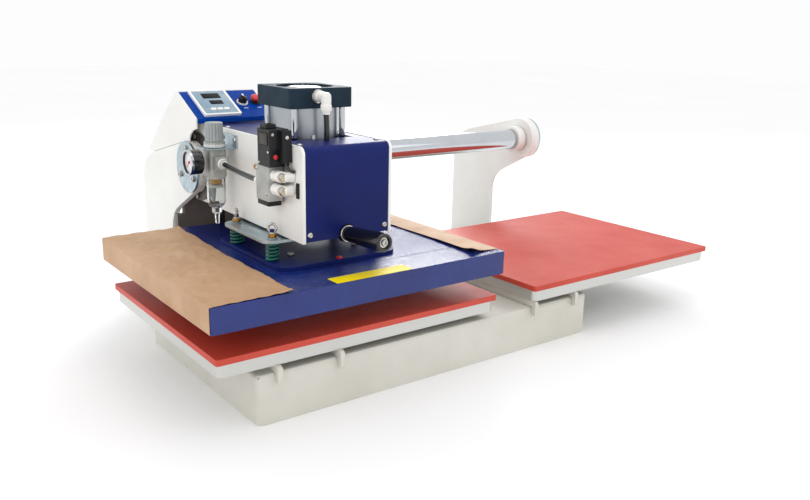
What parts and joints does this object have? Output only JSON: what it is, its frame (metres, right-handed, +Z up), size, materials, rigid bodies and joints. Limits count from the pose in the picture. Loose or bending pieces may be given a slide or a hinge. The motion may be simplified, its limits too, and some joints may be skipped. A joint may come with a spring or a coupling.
{
  "type": "pneumatic double station heat press",
  "caption": "Sliding heated platen on a chrome shaft, driven down by an air cylinder onto silicone-padded cast platens, for stamping foil and transfers",
  "frame": {"origin": "middle of the footprint of the whole machine, on the floor under the sheet-metal base", "axes": "+X along the shaft towards the empty station on the operator's right, +Y away from the operator, +Z up"},
  "size_m": [1.0936, 0.6928, 0.45],
  "materials": {
    "cream_paint": "warm off-white powder coat, slightly glossy",
    "white_paint": "white powder coat, slightly glossy",
    "blue_hammertone": "glossy dark blue hammertone paint",
    "cast_aluminium": "as cast, blasted, dull",
    "machined_aluminium": "machined, fine tool marks",
    "silicone": "red silicone foam, matt, closed skin",
    "chrome": "hard chrome, ground and polished",
    "zinc_steel": "bright zinc plate",
    "steel": "turned or milled steel, lightly oiled, darkened",
    "slate_anodised": "dark slate anodised, satin",
    "spring_green": "green lacquered spring steel",
    "black_plastic": "black moulded plastic, satin",
    "grey_plastic": "light grey moulded plastic",
    "red_plastic": "glossy red moulded plastic",
    "clear_plastic": "clear polycarbonate, slightly milky",
    "white_plastic": "white plastic, smooth"
  },
  "bodies": {
    "base": {"base_shell": "cream_paint", "rear_frame": "cream_paint", "guide_rail": "steel", "carrier_left": "cream_paint", "lower_platen_left": "cast_aluminium", "silicone_pad_left": "silicone", "carrier_right": "cream_paint", "lower_platen_right": "cast_aluminium", "silicone_pad_right": "silicone", "support_left": "white_paint", "support_right": "white_paint", "main_shaft": "chrome", "shaft_flange_left": "zinc_steel", "shaft_flange_right": "zinc_steel", "control_box": "white_paint", "mains_gland": "black_plastic", "control_panel": "blue_hammertone", "controller": "grey_plastic"},
    "carriage": {"head_plate_left": "white_paint", "head_plate_right": "white_paint", "bearing_housing": "steel", "flanged_bearing_left": "steel", "flanged_bearing_right": "steel", "guide_arm": "steel", "cylinder_bracket": "steel", "front_cover": "blue_hammertone", "cylinder_end_lower": "slate_anodised", "cylinder_barrel": "machined_aluminium", "cylinder_end_upper": "slate_anodised", "air_line_cylinder": "white_plastic", "handle_bolt": "zinc_steel", "regulator_body": "grey_plastic", "regulator_bowl": "clear_plastic", "pressure_gauge": "black_plastic", "regulator_bracket": "zinc_steel", "air_tube_valve": "black_plastic", "valve_body": "machined_aluminium", "valve_coil": "black_plastic", "coil_cable": "black_plastic"},
    "press": {"piston_rod": "chrome", "press_plate": "zinc_steel"},
    "platen": {"heating_plate": "machined_aluminium", "platen_cover": "blue_hammertone", "platen_cover_front": "blue_hammertone", "platen_mount": "blue_hammertone", "press_spring_1": "spring_green", "press_spring_2": "spring_green", "press_spring_3": "spring_green", "press_spring_4": "spring_green"},
    "grip": {"handle_grip": "black_plastic"},
    "roller_front": {"guide_roller_front": "steel"},
    "roller_rear": {"guide_roller_rear": "steel"},
    "knob": {"regulator_knob": "grey_plastic"},
    "pointer": {"gauge_pointer": "black_plastic"},
    "override": {"valve_override": "red_plastic"},
    "selector": {"selector_knob": "black_plastic"},
    "stop": {"stop_button": "red_plastic"},
    "key_1": {"controller_key_1": "white_plastic"},
    "key_2": {"controller_key_2": "white_plastic"},
    "key_3": {"controller_key_3": "white_plastic"}
  },
  "joints": [
    {"name": "carriage_slide", "type": "slide", "parent": "base", "child": "carriage", "axis": [1, 0, 0], "range_m": [0, 0.5836]},
    {"name": "press_slide", "type": "slide", "parent": "carriage", "child": "press", "axis": [0, 0, -1], "range_m": [0, 0.0368]},
    {"name": "platen_float", "type": "slide", "parent": "press", "child": "platen", "axis": [0, 0, 1], "range_m": [0, 0.006], "stiffness_N_per_m": 60000, "springref_m": -0.01, "deforming": ["press_spring_1", "press_spring_2", "press_spring_3", "press_spring_4"]},
    {"name": "grip_spin", "type": "hinge", "parent": "carriage", "child": "grip", "pos_m": [-0.2923, -0.24863, 0.241], "axis": [0, -0.9976, 0.0698], "continuous": true},
    {"name": "roller_front_spin", "type": "hinge", "parent": "carriage", "child": "roller_front", "pos_m": [-0.3358, 0.15607, 0.053], "axis": [0, 0, 1], "range_deg": [-5, 2240]},
    {"name": "roller_rear_spin", "type": "hinge", "parent": "carriage", "child": "roller_rear", "pos_m": [-0.3358, 0.19867, 0.053], "axis": [0, 0, 1], "range_deg": [-2240, 5]},
    {"name": "regulator_knob_turn", "type": "hinge", "parent": "carriage", "child": "knob", "pos_m": [-0.3958, -0.01763, 0.37], "axis": [0, 0, 1], "range_deg": [-720, 720]},
    {"name": "gauge_pointer_turn", "type": "hinge", "parent": "carriage", "child": "pointer", "pos_m": [-0.4408, -0.01763, 0.327], "axis": [1, 0, 0], "range_deg": [0, 270], "stiffness_Nm_per_rad": 0.0005, "springref_deg": -17.19},
    {"name": "valve_override_push", "type": "slide", "parent": "carriage", "child": "override", "axis": [0, 1, 0], "range_m": [0, 0.0015], "stiffness_N_per_m": 800, "springref_m": -0.002},
    {"name": "selector_turn", "type": "hinge", "parent": "base", "child": "selector", "pos_m": [-0.2828, 0.10794, 0.40837], "axis": [0, -0.4472, 0.8944], "range_deg": [0, 90]},
    {"name": "stop_push", "type": "slide", "parent": "base", "child": "stop", "axis": [0, 0.4472, -0.8944], "range_m": [0, 0.004], "stiffness_N_per_m": 1200, "springref_m": -0.002},
    {"name": "key_1_push", "type": "slide", "parent": "base", "child": "key_1", "axis": [0, 0.4472, -0.8944], "range_m": [0, 0.0005], "stiffness_N_per_m": 1200, "springref_m": -0.001},
    {"name": "key_2_push", "type": "slide", "parent": "base", "child": "key_2", "axis": [0, 0.4472, -0.8944], "range_m": [0, 0.0005], "stiffness_N_per_m": 1200, "springref_m": -0.001},
    {"name": "key_3_push", "type": "slide", "parent": "base", "child": "key_3", "axis": [0, 0.4472, -0.8944], "range_m": [0, 0.0005], "stiffness_N_per_m": 1200, "springref_m": -0.001}
  ],
  "couplings": [
    {"joint": "roller_front_spin", "follows": "carriage_slide", "rad_per_m": 66.667},
    {"joint": "roller_rear_spin", "follows": "carriage_slide", "rad_per_m": -66.667}
  ]
}
